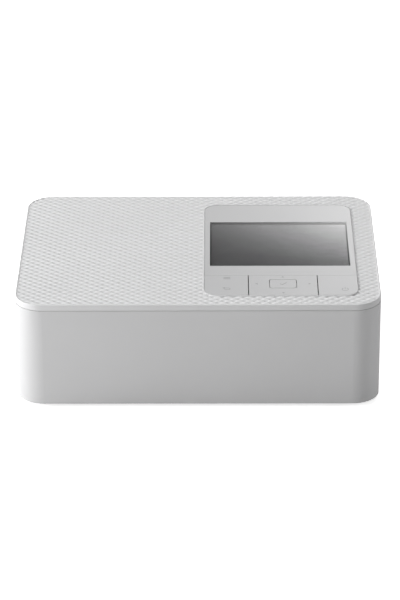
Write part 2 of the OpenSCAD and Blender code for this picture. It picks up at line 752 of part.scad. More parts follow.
// Ring that lets the four-way pad tilt both ways
module nav_gimbal() color("dimgray")
    translate([nav_cx, nav_cy, key_ax_z])
        difference() {
            union() {
                span([-ring_x, -ring_y, -ring_t / 2], [ring_x, ring_y, ring_t / 2]);
                for (s = [-1, 1])
                    span([-lug_r, s * (ring_y - ring_bar / 2) - ring_bar / 2, -lug_r],
                         [lug_r, s * (ring_y - ring_bar / 2) + ring_bar / 2, lug_r]);
                bar_x(key_pin_r, -ring_x - fit - lug_w + 0.2, -ring_x + 0.1, 0, 0);
                bar_x(key_pin_r, ring_x - 0.1, ring_x + fit + lug_w - 0.2, 0, 0);
            }
            span([-ring_x + ring_bar, -ring_y + ring_bar, -3], [ring_x - ring_bar, ring_y - ring_bar, 3]);
            bar_y(key_pin_r + run, -ring_y - 1, ring_y + 1, 0, 0);
        }

module key_board() color("seagreen") {
    difference() {
        span([px0, py0 + 0.5, z_board - board_t], [px1, bezel_y0 - 0.5, z_board]);
        for (p = board_pegs) bar_z(0.9, 0, z_board + 1, p[0], p[1]);
    }
    for (p = presses) bar_z(dome_r, z_board - 0.1, z_board + dome_h, p[0], p[1]);
    span([px0 + 26, bezel_y0 - 8, z_board - board_t - 1.4], [px0 + 40, bezel_y0 - 3, z_board - board_t + 0.1]);
}
// Self-tapping screws: through the base into the posts and the chassis, and up into the top cover
module screws() color("silver") {
    posts() screw_up(0, 0, z_base + 1, 14);
    frame_feet() screw_up(0, 0, z_base + head_h, wall + plate_t - head_h + 1);
    panel_holes() screw_up(0, 0, z_plate - 2 * flange_t, 2 * flange_t + 0.2);
}

// ---- electronics ----

module main_board() color("seagreen") {
    z0 = z_main - pcb_t;
    difference() {
        span([main_x0, main_y0, z0], [main_x1, main_y1, z_main]);
        main_holes() bar_z(screw_r + 0.05, 0, case_h, 0, 0);
    }
    main_holes() bar_z(head_r, z0 - head_h, z0, 0, 0);
    main_holes() bar_z(screw_r, z0 - 0.1, z_main + 2, 0, 0);
    span([-30, 8, z_main - 0.1], [-14, 24, z_main + 1.4]);
    span([-30, -16, z_main - 0.1], [-18, -2, z_main + 1.2]);
    span([-68, 20, z_main - 0.1], [-60, 32, z_main + 1.2]);
    for (i = [0:4]) bar_z(2, z_main - 0.1, z_main + 2.4, -46 + 6 * i, 38);
}
// Memory card slot and USB socket, under the main board
module board_sockets() color("silver") {
    x0 = -hx + wall + fit;
    z1 = z_main - pcb_t;
    difference() {
        span([x0, card_y - card_w / 2 - 1.4, z1 - 2.9], [x0 + 26, card_y + card_w / 2 + 1.4, z1]);
        span([x0 - 1, card_y - card_w / 2, z1 - 2.5], [x0 + 24, card_y + card_w / 2, z1 - 0.3]);
    }
    difference() {
        span([x0, usb_y - 4.6, z1 - 3.4], [x0 + 8, usb_y + 4.6, z1]);
        translate([x0 - 1, usb_y, z1 - 1.7])
            rotate([90, 0, 90])
                linear_extrude(8)
                    rounded(8.4, 2.6, 1.2);
    }
}

module power_board() color("seagreen") {
    difference() {
        span([power_x0, power_y0, z_power], [power_x1, power_y1, z_power + pcb_t]);
        for (x = [power_x0 + 4, power_x1 - 4], y = [power_y0 + 4, power_y1 - 4])
            bar_z(screw_r + 0.05, 0, case_h, x, y);
    }
    for (x = [power_x0 + 4, power_x1 - 4], y = [power_y0 + 4, power_y1 - 4]) {
        bar_z(screw_r - 0.05, z_power - 3, z_power + pcb_t + 0.1, x, y);
        bar_z(head_r, z_power + pcb_t, z_power + pcb_t + head_h, x, y);
    }
    top = z_power + pcb_t - 0.1;
    span([power_x0 + 3, power_y0 + 9, top], [power_x0 + 13, power_y0 + 20, top + 9]);
    bar_z(4, top, top + 13, power_x1 - 5, power_y0 + 14);
}
module dc_jack() color("black")
    difference() {
        union() {
            span([jack_x - 4.5, hy - wall - 14, z_floor], [jack_x + 4.5, hy - wall, jack_z + 5]);
            bar_y(4, hy - wall - 0.5, hy - 0.4, jack_x, jack_z);
        }
        bar_y(2.85, hy - 11, hy + 1, jack_x, jack_z);
    }
// Flat cable under the main board and the display
module flat_cable() color("sandybrown")
    span([main_x1 - 8, 2, z_main - pcb_t - 0.2], [px0 + 8, 16, min(z_main - pcb_t, z_lcd - lcd_t - light_t)]);

// ---- frame ----

right_front_top = pickup_z + 6;
left_bearings = [[pickup_y, pickup_z], [grip_y, grip_z], [platen_y, platen_z], [take_y, tub_z]];
right_bearings = [[pickup_y, pickup_z], [grip_y, grip_z], [platen_y, platen_z]];
// Screwed tabs of the two frame plates, as [x of the screw, y]
tab_w = 10;
tab_at = [[left_x + 6, -38], [left_x + 6, 50], [right_x + 6, -18], [right_x + 6, 38]];
module frame_feet() for (t = tab_at) translate([t[0], t[1], 0]) children();

module tab(x, y)
    difference() {
        span([x, y - tab_w / 2, z_floor], [x + tab_w, y + tab_w / 2, z_floor + plate_t]);
        bar_z(screw_r, 0, case_h, x + 6, y);
    }
module chassis_left() color("silver") {
    difference() {
        span([left_x, plate_y0, z_floor], [left_x + plate_t, plate_y1, pivot_z + pivot_r + 0.4]);
        for (b = left_bearings) bar_x(bush_r, left_x - 1, left_x + plate_t + 1, b[0], b[1]);
        bar_x(pivot_r, left_x - 1, left_x + plate_t + 1, pivot_y, pivot_z);
        // holes that lighten the plate
        bar_x(6, left_x - 1, left_x + plate_t + 1, 42, 18);
        bar_x(5, left_x - 1, left_x + plate_t + 1, 34, 38);
    }
    tab(left_x, tab_at[0][1]);
    tab(left_x, tab_at[1][1]);
    // rails that carry the left end of the ink cassette
    for (y = [cass_y0 + 0.4, cass_y1 - 4.4])
        span([left_x + plate_t - 0.2, y, tub_z - tub_r - fit - 1.4],
             [roll_x0 - 1.2, y + 4, tub_z - tub_r - fit]);
}
module chassis_right() color("silver") {
    rail = tub_z - tub_r - fit;
    difference() {
        union() {
            span([right_x, plate_y0, z_floor], [right_x + plate_t, cass_y0 - 1.5, right_front_top]);
            span([right_x, cass_y0 - 2, z_floor], [right_x + plate_t, cass_y1 + 2, paper_z - 0.4]);
            span([right_x, cass_y0 - 2, z_floor], [right_x + plate_t, take_y + 2, rail]);
            span([right_x, cass_y1 - 6, z_floor], [right_x + plate_t, cass_y1 + 2, rail]);
            span([right_x, cass_y1 + 1.5, z_floor], [right_x + plate_t, plate_y1, pivot_z + pivot_r + 0.4]);
        }
        for (b = right_bearings) bar_x(bush_r, right_x - 1, right_x + plate_t + 1, b[0], b[1]);
        bar_x(pivot_r, right_x - 1, right_x + plate_t + 1, pivot_y, pivot_z);
    }
    tab(right_x, tab_at[2][1]);
    tab(right_x, tab_at[3][1]);
}
// Front and rear ties between the two plates
module chassis_ties() color("silver") {
    x0 = left_x + plate_t;
    span([x0, plate_y0, right_front_top - plate_t], [right_x, plate_y0 + 6, right_front_top]);
    span([x0, plate_y0, right_front_top - 4], [right_x, plate_y0 + plate_t, right_front_top]);
    span([x0, plate_y1 - plate_t, z_floor + 4], [right_x, plate_y1, platen_z]);
}
// Plate that carries the motors, with its spacers and foot
gear_y0 = grip_y + 4;
gear_y1 = rib_y + 12;
gear_top = rib_z + 9.5;
module gear_plate() color("silver") {
    difference() {
        union() {
            span([gear_x, gear_y0, z_floor], [gear_x + plate_t, gear_y1, gear_top]);
            span([gear_x - 6, gear_y0, z_floor], [gear_x + plate_t, gear_y1, z_floor + plate_t]);
            for (p = [[gear_y0 + 2.5, gear_top - 3], [gear_y1 - 3, gear_top - 3], [gear_y1 - 3, z_floor + 4]])
                bar_x(2.2, gear_x, left_x, p[0], p[1]);
        }
        bar_x(3.1, gear_x - 1, gear_x + plate_t + 1, feed_y, feed_z);
        bar_x(3.1, gear_x - 1, gear_x + plate_t + 1, rib_y, rib_z);
    }
}
module bush(x0, y, z, s) {
    flange_x = s > 0 ? x0 + plate_t : x0 - bush_head;
    tube_x(bush_r, shaft_r + run, x0, x0 + plate_t, y, z);
    tube_x(bush_r + 0.6, shaft_r + run, flange_x, flange_x + bush_head, y, z);
}
module bushings() color("darkkhaki") {
    for (b = left_bearings) bush(left_x, b[0], b[1], b[0] == take_y ? -1 : 1);
    for (b = right_bearings) bush(right_x, b[0], b[1], -1);
}

// Guide under the paper, open at the two rollers
module paper_guide() color("black") {
    x0 = roll_x0 - 0.8;
    x1 = right_x - 0.6;
    wall_t = 1.5;
    deck = paper_z - 0.6;
    front = grip_y + grip_r + 2;
    mid = platen_y - platen_r - 1.2;
    back = platen_y + platen_r + 1.2;
    end = plate_y1 - plate_t - 2;
    along_x(x0, x1)
        difference() {
            translate([front, z_floor + fit]) square([end - front, deck - z_floor - fit]);
            translate([front + wall_t, z_floor + wall_t + fit])
                square([mid - front - 2 * wall_t, deck - 2 * wall_t - z_floor - fit]);
            translate([mid, z_floor + wall_t + fit]) square([back - mid, 30]);
            translate([back + wall_t, z_floor + wall_t + fit])
                square([end - back - 2 * wall_t, deck - 2 * wall_t - z_floor - fit]);
        }
    span([x0, end - 0.2, deck - wall_t], [x1, hy - rear_pad - fit, deck]);
}

// ---- rollers and drive ----

shaft_x0 = feed_x - 0.8;
shaft_x1 = right_x + plate_t + 1;
module platen_shaft() color("silver") bar_x(shaft_r, left_x - 1, shaft_x1, platen_y, platen_z);
module platen_rubber() color("dimgray") tube_x(platen_r, shaft_r, roll_x0, roll_x1, platen_y, platen_z);
module grip_roller() color("silver") {
    bar_x(shaft_r, shaft_x0, shaft_x1, grip_y, grip_z);
    bar_x(grip_r, roll_x0, roll_x1, grip_y, grip_z);
}
module grip_gear() color("white") {
    difference() {
        spur(grip_teeth, feed_x, gear_w, grip_y, grip_z, shaft_r);
        for (a = [0:60:359])
            bar_x(2.4, feed_x - 1, feed_x + gear_w + 1, grip_y + 8.5 * cos(a), grip_z + 8.5 * sin(a));
    }
}
// Bracket over the pinch roller, with its two bearings
module pinch_holder() color("black") {
    z0 = pinch_z + pinch_r + 2.7;
    span([left_x + plate_t, grip_y - 5, z0], [right_x, grip_y + 4, z0 + 2.5]);
    for (x = [roll_x0 - 3.4, roll_x1 + 0.8])
        difference() {
            span([x, grip_y - 2.6, pinch_z - 2.2], [x + 2.4, grip_y + 2.6, z0 + 0.1]);
            bar_x(pinch_shaft_r + run, x - 1, x + 4, grip_y, pinch_z);
        }
}
module pinch_roller() color("dimgray") {
    bar_x(pinch_shaft_r, roll_x0 - 4, roll_x1 + 3.8, grip_y, pinch_z);
    bar_x(pinch_r, roll_x0, roll_x1, grip_y, pinch_z);
}
tyre_w = 9;
module pickup_shaft() color("silver") bar_x(shaft_r, shaft_x0, shaft_x1, pickup_y, pickup_z);
module pickup_tyres() color("dimgray")
    for (x = [mid_x - 16, mid_x + 7])
        tube_x(pickup_r, shaft_r, x, x + tyre_w, pickup_y, pickup_z);
module pickup_gear() color("white") {
    dir = atan2(pickup_z - grip_z, pickup_y - grip_y);
    spur(pickup_teeth, feed_x, gear_w, pickup_y, pickup_z, shaft_r, mesh_turn(dir, grip_teeth, pickup_teeth));
}
// Motor body on the gear plate, with room for its shaft
motor_shaft_r = 1;
module motor(r, length, y, z) {
    tube_x(r, 2.2, gear_x - 1.5, gear_x, y, z);
    tube_x(3, motor_shaft_r + run, gear_x - 1.4, gear_x + plate_t, y, z);
    difference() {
        bar_x(r, gear_x - length, gear_x - 0.1, y, z);
        bar_x(motor_shaft_r + run, gear_x - 4, gear_x + 1, y, z);
    }
}
module feed_motor() color("dimgray") motor(11.5, 20, feed_y, feed_z);
module feed_pinion() color("gold") {
    spur(pinion_teeth, feed_x, gear_w, feed_y, feed_z, motor_shaft_r, mesh_turn(0, grip_teeth, pinion_teeth));
    bar_x(motor_shaft_r, gear_x - 3.5, feed_x + gear_w + 0.4, feed_y, feed_z);
}
module ribbon_motor() color("dimgray") motor(8.5, 18, rib_y, rib_z);
module ribbon_pinion() color("gold") {
    spur(pinion_teeth, take_x, gear_w, rib_y, rib_z, motor_shaft_r,
         mesh_turn(take_ang, ribbon_teeth, pinion_teeth));
    bar_x(motor_shaft_r, gear_x - 3.5, take_x + gear_w + 0.4, rib_y, rib_z);
}
// Gear and hub that turn the take-up spool
module ribbon_gear() color("white") {
    spur(ribbon_teeth, take_x, gear_w, take_y, tub_z, shaft_r - 0.5);
    bar_x(shaft_r, take_x - 0.6, cass_x0 - 0.1, take_y, tub_z);
}

// ---- print head ----

module head_pivot() color("silver") bar_x(pivot_r, left_x - 1, shaft_x1, pivot_y, pivot_z);
head_ears = [head_x0 + 4, head_x1 - 8];
ear_r = 2.1;
module head_arm() color("silver") {
    y0 = sink_y0 + 0.4;
    difference() {
        union() {
            span([head_x0, y0, arm_z], [head_x1, pivot_y - ear_r - 4, arm_z + arm_t]);
            for (x = head_ears) {
                bar_x(ear_r, x, x + 4, pivot_y, pivot_z);
                span([x, pivot_y - ear_r - 5, arm_z], [x + 4, pivot_y, arm_z + arm_t]);
            }
        }
        for (x = head_ears) bar_x(pivot_r + run, x - 1, x + 5, pivot_y, pivot_z);
        for (i = [0:4])
            span([head_x0 + 12 + i * 18, sink_y1 + 3, arm_z - 1],
                 [head_x0 + 22 + i * 18, pivot_y - 12, arm_z + 3]);
    }
}
module heat_sink() color("darkgray") {
    z0 = head_bar_z + 2;
    fins = 5;
    pitch = (sink_y1 - sink_y0 - 1) / (fins - 1);
    span([head_x0, sink_y0, z0], [head_x1, sink_y1, z0 + 3.5]);
    for (i = [0:fins - 1])
        span([head_x0, sink_y0 + i * pitch, z0 + 3], [head_x1, sink_y0 + i * pitch + 1, arm_z]);
}
module head_bar() color("ivory") {
    span([head_x0, sink_y0 + 0.6, head_bar_z], [head_x1, sink_y1 - 0.6, head_bar_z + 2]);
    bar_x(0.5, head_x0 + 1, head_x1 - 1, platen_y - 0.7, head_bar_z + 0.2);
}
module head_springs() color("silver")
    for (x = [head_ears[0] + 4.3, head_ears[1] - 8.3])
        tube_x(2.2, pivot_r + 0.15, x, x + 8, pivot_y, pivot_z);

// ---- ink cassette ----

slot_w = 6.5;
// Shell of one tub; the ribbon leaves through the slot at y
module tub(y, slot_y)
    difference() {
        tube_x(tub_r, tub_r - tub_t, cass_x0 + bridge_t, cass_x1, y, tub_z);
        span([cass_x0 + bridge_t + 6, slot_y, tub_z - tub_r - 1], [cass_x1 - 3, slot_y + slot_w, tub_z - 3]);
    }
module bridge(x0)
    difference() {
        along_x(x0, x0 + bridge_t)
            translate([(cass_y0 + cass_y1) / 2, tub_z])
                rounded(cass_y1 - cass_y0, 2 * tub_r, 4);
        for (y = [take_y, supply_y]) bar_x(journal_r + run, x0 - 1, x0 + bridge_t + 1, y, tub_z);
        // waist that clears the print head
        span([x0 - 1, sink_y0 - 0.5, tub_z + 1], [x0 + bridge_t + 1, sink_y1 + 0.5, tub_z + tub_r + 1]);
    }
module cassette_tubs() color("darkslategray") {
    tub(take_y, take_y + 3);
    tub(supply_y, supply_y - 3 - slot_w + 2.4);
}
module cassette_ends() color("darkslategray") {
    bridge(cass_x0);
    bridge(cass_x1);
    gy = (cass_y0 + cass_y1) / 2;
    difference() {
        span([cass_x1 + bridge_t - 0.2, gy - 9, tub_z - 6], [grip_end, gy + 9, tub_z]);
        span([cass_x1 + bridge_t + 1, gy - 7.5, tub_z - 4.5], [grip_end - 1.6, gy + 7.5, tub_z + 1]);
    }
}
module spool(y, roll) {
    x1 = cass_x1 + bridge_t - 0.4;
    difference() {
        union() {
            bar_x(journal_r, cass_x0 - journal_end, x1, y, tub_z);
            bar_x(core_r, cass_x0 + bridge_t + fit, cass_x1 - fit, y, tub_z);
            bar_x(roll, roll_x0 + 1, roll_x1 - 1, y, tub_z);
        }
        bar_x(shaft_r + fit, cass_x0 - 2, cass_x0 + 2.2, y, tub_z);
    }
}
module supply_spool() color("slategray") spool(supply_y, roll_r);
module takeup_spool() color("slategray") spool(take_y, take_roll_r);

// Point where a line from p touches a roll; s is the side that the line passes
function touch(p, c, r, s) =
    let (d = norm(c - p), a = atan2(c[1] - p[1], c[0] - p[0]) + s * asin(r / d), l = sqrt(d * d - r * r))
        p + l * [cos(a), sin(a)];

// Ribbon from roll to roll, flat under the print head
module ribbon_sheet() color("goldenrod") {
    f = [take_y + tub_r, film_z];
    b = [supply_y - tub_r, film_z];
    path = [touch(f, [take_y, tub_z], take_roll_r + fit, 1), f, b,
            touch(b, [supply_y, tub_z], roll_r + fit, -1)];
    up = [0, film];
    along_x(roll_x0 + 1, roll_x1 - 1)
        polygon(concat(path, [for (i = [3:-1:0]) path[i] + up]));
}

base();
side_left();
side_right();
rear_panel();
fascia();
case_posts();
top_cover();
front_door();
ink_door();
rear_flap();
rubber_feet();
screws();
display_bezel();
display_window();
screen_gasket();
lcd_module();
key_frame();
key_deck();
key_bearings();
menu_key();
power_key();
nav_pad();
ok_key();
nav_gimbal();
key_board();
main_board();
board_sockets();
power_board();
dc_jack();
flat_cable();
chassis_left();
chassis_right();
chassis_ties();
gear_plate();
bushings();
paper_guide();
platen_shaft();
platen_rubber();
grip_roller();
grip_gear();
pinch_holder();
pinch_roller();
pickup_shaft();
pickup_tyres();
pickup_gear();
feed_motor();
feed_pinion();
ribbon_motor();
ribbon_pinion();
ribbon_gear();
head_pivot();
head_arm();
heat_sink();
head_bar();
head_springs();
cassette_ends();
cassette_tubs();
supply_spool();
takeup_spool();
ribbon_sheet();
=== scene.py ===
"""Compact photo printer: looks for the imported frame. Lengths named in mm are turned to metres by MM."""
import math

import bmesh
import bpy
from mathutils import Matrix, Vector


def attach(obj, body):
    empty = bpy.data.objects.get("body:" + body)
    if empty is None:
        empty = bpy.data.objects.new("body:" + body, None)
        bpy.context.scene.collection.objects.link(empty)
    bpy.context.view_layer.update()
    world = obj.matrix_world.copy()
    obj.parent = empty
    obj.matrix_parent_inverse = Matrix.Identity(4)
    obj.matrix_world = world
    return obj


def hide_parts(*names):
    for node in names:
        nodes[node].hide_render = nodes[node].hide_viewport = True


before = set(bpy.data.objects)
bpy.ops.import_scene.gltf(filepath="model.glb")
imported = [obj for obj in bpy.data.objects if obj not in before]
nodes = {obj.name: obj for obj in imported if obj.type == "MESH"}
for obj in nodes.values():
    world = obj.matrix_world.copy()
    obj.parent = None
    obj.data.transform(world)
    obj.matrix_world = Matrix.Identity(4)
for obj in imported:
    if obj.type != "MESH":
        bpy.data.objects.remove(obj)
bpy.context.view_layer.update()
MM = 0.001

# ---------------------------------------------------------------- sizes, in mm, as in the CAD
HX, HY, TOP = 91.1, 66.5, 57.6
CORNER_R = 13.8
RIM_Z = 54.7
PANEL = (3.2, 79.9, -55.4, 54.2)
PANEL_R = 6.8
PANEL_GAP = 0.14                   # gap of the skin's opening; the CAD leaves 0.45, and 0.85 in front
WALL_TOP = 54.25
BAND = (27.6, 28.2)                # y where the window's duller rear band sets in
RIBBON_RUN = 48.0                  # y that the ribbon's colour fields spread over


# ---------------------------------------------------------------- node materials
class Shader:
    """A small builder for one principled material, with object coordinates in metres."""

    def __init__(self, name):
        self.mat = bpy.data.materials.new(name)
        self.mat.use_nodes = True
        self.tree = self.mat.node_tree
        self.bsdf = self.tree.nodes["Principled BSDF"]
        self.coord = self.add("ShaderNodeTexCoord").outputs["Object"]

    def add(self, kind, **settings):
        node = self.tree.nodes.new(kind)
        for key, value in settings.items():
            setattr(node, key, value)
        return node

    def join(self, out, into):
        self.tree.links.new(out, into)

    def parts(self):
        """The X, Y and Z of the object coordinates."""
        split = self.add("ShaderNodeSeparateXYZ")
        self.join(self.coord, split.inputs["Vector"])
        return split.outputs

    def stretched(self, scale):
        """Coordinates multiplied per axis, for brushed or grained looks."""
        node = self.add("ShaderNodeMapping")
        node.inputs["Scale"].default_value = scale
        self.join(self.coord, node.inputs["Vector"])
        return node.outputs["Vector"]

    def noise(self, scale, detail=2.0, rough=0.5, vector=None):
        node = self.add("ShaderNodeTexNoise")
        node.inputs["Scale"].default_value = scale
        node.inputs["Detail"].default_value = detail
        node.inputs["Roughness"].default_value = rough
        self.join(vector or self.coord, node.inputs["Vector"])
        return node.outputs["Fac"]

    def ramp(self, value, low, high, start=0.0, end=1.0):
        """Maps value from low..high onto start..end."""
        node = self.add("ShaderNodeMapRange")
        for key, number in (("From Min", low), ("From Max", high), ("To Min", start), ("To Max", end)):
            node.inputs[key].default_value = number
        self.join(value, node.inputs["Value"])
        return node.outputs["Result"]

    def mix(self, factor, a, b):
        node = self.add("ShaderNodeMix", data_type="RGBA")
        for socket, value in ((node.inputs[6], a), (node.inputs[7], b)):
            if isinstance(value, tuple):
                socket.default_value = (*value, 1.0)
            else:
                self.join(value, socket)
        self.join(factor, node.inputs[0])
        return node.outputs[2]

    def bump(self, height, depth_mm):
        node = self.add("ShaderNodeBump")
        node.inputs["Strength"].default_value = 1.0
        node.inputs["Distance"].default_value = depth_mm * MM
        self.join(height, node.inputs["Height"])
        return node.outputs["Normal"]

    def set(self, **inputs):
        for key, value in inputs.items():
            socket = self.bsdf.inputs[key.replace("_", " ")]
            if isinstance(value, (int, float)):
                socket.default_value = value
            elif isinstance(value, tuple):
                socket.default_value = (*value, 1.0) if len(value) == 3 else value
            else:
                self.join(value, socket)
        return self.mat


def moulded(name, colour, rough, grain_mm, depth_mm, spread=0.03, coat=0.0):
    """Moulded plastic: spark-eroded grain, slow colour drift and uneven gloss."""
    s = Shader(name)
    drift = s.noise(18.0, 3.0)
    fine = s.noise(1.0 / (grain_mm * MM), 3.0, 0.6)
    darker = tuple(c * (1.0 - spread) for c in colour)
    base = s.mix(s.ramp(drift, 0.3, 0.7), darker, colour)
    base = s.mix(s.ramp(fine, 0.35, 0.65, 0.0, 0.25), base, tuple(c * 0.93 for c in colour))
    gloss = s.ramp(drift, 0.3, 0.7, rough - 0.04, rough + 0.05)
    normal = s.bump(fine, depth_mm)
    return s.set(Base_Color=base, Roughness=gloss, Normal=normal, Coat_Weight=coat, Coat_Roughness=0.25)


def metal(name, colour, rough, stretch, depth_mm=0.004, spread=0.12):
    """Drawn, turned or rolled metal: streaks along one axis and a few dull patches."""
    s = Shader(name)
    streak = s.noise(900.0, 4.0, 0.65, s.stretched(stretch))
    patch = s.noise(60.0, 3.0)
    darker = tuple(c * (1.0 - spread) for c in colour)
    base = s.mix(s.ramp(streak, 0.3, 0.7), darker, colour)
    gloss = s.ramp(patch, 0.3, 0.7, rough - 0.05, rough + 0.1)
    return s.set(Base_Color=base, Metallic=1.0, Roughness=gloss, Normal=s.bump(streak, depth_mm))


def rubber(name, colour, grain_mm, depth_mm):
    s = Shader(name)
    fine = s.noise(1.0 / (grain_mm * MM), 4.0, 0.7)
    dust = s.noise(90.0, 4.0, 0.6)
    pale = tuple(c * 1.7 + 0.01 for c in colour)
    base = s.mix(s.ramp(dust, 0.45, 0.75, 0.0, 0.5), colour, pale)
    return s.set(Base_Color=base, Roughness=s.ramp(fine, 0.3, 0.7, 0.68, 0.92), Normal=s.bump(fine, depth_mm))


def circuit():
    """Solder mask with copper tracks showing through as slightly lighter lines."""
    s = Shader("circuit")
    brick = s.add("ShaderNodeTexBrick", offset=0.5)
    brick.inputs["Scale"].default_value = 300.0
    brick.inputs["Mortar Size"].default_value = 0.035
    s.join(s.stretched((1.0, 1.0, 0.0)), brick.inputs["Vector"])
    tracks = s.mix(s.ramp(s.noise(70.0, 2.0), 0.45, 0.5), (0.012, 0.10, 0.045), (0.02, 0.16, 0.07))
    base = s.mix(s.ramp(brick.outputs["Fac"], 0.0, 1.0, 0.0, 0.8), tracks, (0.03, 0.20, 0.09))
    return s.set(Base_Color=base, Roughness=0.35, Normal=s.bump(brick.outputs["Fac"], 0.02))


def dye_film():
    """The dye ribbon: wide yellow, magenta and cyan fields along its run."""
    s = Shader("ribbon_film")
    ramp = s.add("ShaderNodeValToRGB")
    ramp.color_ramp.interpolation = "CONSTANT"
    fields = ((0.0, (0.75, 0.62, 0.03)), (0.3, (0.55, 0.03, 0.20)), (0.62, (0.02, 0.22, 0.50)))
    for k, (place, colour) in enumerate(fields):
        stop = ramp.color_ramp.elements[k] if k < 2 else ramp.color_ramp.elements.new(place)
        stop.position = place
        stop.color = (*colour, 1.0)
    s.join(s.ramp(s.parts()["Y"], 0.0, RIBBON_RUN * MM), ramp.inputs["Fac"])
    crease = s.noise(500.0, 3.0, 0.5, s.stretched((0.15, 1.0, 1.0)))
    return s.set(
        Base_Color=ramp.outputs["Color"], Roughness=0.18, Specular_IOR_Level=0.7, Normal=s.bump(crease, 0.02)
    )


def window():
    """Clear gloss window with the faint orange peel of a moulding, and a duller band along its rear edge."""
    s = Shader("screen_window")
    peel = s.noise(160.0, 2.0)
    smear = s.noise(45.0, 4.0, 0.6)
    return s.set(
        Base_Color=s.mix(s.ramp(smear, 0.4, 0.7, 0.0, 0.3), (0.93, 0.93, 0.94), (0.86, 0.87, 0.88)),
        Roughness=s.ramp(smear, 0.35, 0.75, 0.03, 0.07),
        Transmission_Weight=1.0,
        IOR=1.49,
        Specular_IOR_Level=s.ramp(s.parts()["Y"], BAND[0] * MM, BAND[1] * MM, 0.5, 0.22),
        Normal=s.bump(peel, 0.002),
    )


def display():
    """Switched-off display: near-black glass with its fine grid of cells and a slight haze."""
    s = Shader("screen_black")
    cells = s.add("ShaderNodeTexBrick", offset=0.0)
    cells.inputs["Scale"].default_value = 1.0 / (0.22 * MM)
    cells.inputs["Mortar Size"].default_value = 0.06
    s.join(s.stretched((1.0, 1.0, 0.0)), cells.inputs["Vector"])
    haze = s.noise(25.0, 2.0)
    base = s.mix(cells.outputs["Fac"], (0.024, 0.024, 0.025), (0.014, 0.014, 0.0145))
    base = s.mix(s.ramp(haze, 0.3, 0.7, 0.0, 0.4), base, (0.03, 0.03, 0.031))
    return s.set(Base_Color=base, Roughness=0.32)


materials = {
    "case_plastic": moulded("case_plastic", (0.53, 0.53, 0.534), 0.52, 0.35, 0.012),
    "top_plastic": moulded("top_plastic", (0.58, 0.58, 0.584), 0.45, 0.30, 0.006),
    "panel_plastic": moulded("panel_plastic", (0.46, 0.46, 0.464), 0.34, 0.22, 0.004, coat=0.4),
    "screen_window": window(),
    "screen_black": display(),
    "black_foam": rubber("black_foam", (0.02, 0.02, 0.02), 0.5, 0.05),
    "black_plastic": moulded("black_plastic", (0.025, 0.025, 0.027), 0.5, 0.4, 0.015, 0.2),
    "white_plastic": moulded("white_plastic", (0.72, 0.71, 0.68), 0.4, 0.6, 0.01, 0.06),
    "rubber": rubber("rubber", (0.03, 0.03, 0.032), 0.4, 0.03),
    "steel": metal("steel", (0.58, 0.58, 0.60), 0.24, (1.0, 0.04, 0.04)),
    "sheet_steel": metal("sheet_steel", (0.55, 0.56, 0.57), 0.36, (0.4, 0.05, 0.6), 0.003, 0.2),
    "aluminium": metal("aluminium", (0.66, 0.66, 0.67), 0.34, (0.04, 1.0, 1.0)),
    "brass": metal("brass", (0.62, 0.44, 0.16), 0.3, (1.0, 1.0, 0.05)),
    "ceramic": moulded("ceramic", (0.62, 0.59, 0.52), 0.18, 0.3, 0.002, 0.05),
    "circuit": circuit(),
    "cable": moulded("cable", (0.60, 0.56, 0.45), 0.35, 0.8, 0.01, 0.1),
    "ribbon_film": dye_film(),
    "motor_steel": metal("motor_steel", (0.20, 0.20, 0.21), 0.38, (0.05, 1.0, 1.0)),
}
for node in nodes.values():
    slots = node.data.materials
    for k, old in enumerate(slots):
        slots[k] = materials[old.name.split(".")[0]]


# ---------------------------------------------------------------- mesh helpers
def rounded_outline(box, radius, inset, steps=20):
    """Points, in mm, round a rounded rectangle drawn in by inset."""
    x0, x1, y0, y1 = box[0] + inset, box[1] - inset, box[2] + inset, box[3] - inset
    r = max(radius - inset, 0.05)
    points = []
    right, left = ((x1 - r, y0 + r, 270), (x1 - r, y1 - r, 0)), ((x0 + r, y1 - r, 90), (x0 + r, y0 + r, 180))
    for cx, cy, turn in right + left:
        for k in range(steps + 1):
            a = math.radians(turn + 90.0 * k / steps)
            points.append((cx + r * math.cos(a), cy + r * math.sin(a)))
    return points


def inside_by(x, y, box, radius):
    """How far the point lies inside the rounded rectangle, and the way out to its edge."""
    cx, cy = (box[0] + box[1]) / 2, (box[2] + box[3]) / 2
    hx, hy = (box[1] - box[0]) / 2, (box[3] - box[2]) / 2
    qx, qy = abs(x - cx) - (hx - radius), abs(y - cy) - (hy - radius)
    sx, sy = math.copysign(1, x - cx), math.copysign(1, y - cy)
    if qx > 0 and qy > 0:
        far = math.hypot(qx, qy)
        return radius - far, (sx * qx / far, sy * qy / far)
    return (radius - qx, (sx, 0.0)) if qx > qy else (radius - qy, (0.0, sy))


def finish_piece(name, bm, material, body, stands_for=(), smooth=True):
    """Turns a bmesh in mm into a piece with its material, slot and body."""
    for v in bm.verts:
        v.co *= MM
    mesh = bpy.data.meshes.new(name)
    bm.normal_update()
    bm.to_mesh(mesh)
    bm.free()
    if smooth:
        mesh.shade_smooth()
        mesh.set_sharp_from_angle(angle=math.radians(35))
    piece = bpy.data.objects.new(name, mesh)
    bpy.context.scene.collection.objects.link(piece)
    mesh.materials.append(materials[material])
    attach(piece, body)
    if stands_for:
        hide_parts(*stands_for)


def loft(bm, loops):
    """Quads between successive closed loops of (x, y, z)."""
    rings = [[bm.verts.new(p) for p in loop] for loop in loops]
    for low, high in zip(rings, rings[1:]):
        count = len(low)
        for k in range(count):
            n = (k + 1) % count
            bm.faces.new((low[k], low[n], high[n], high[k]))


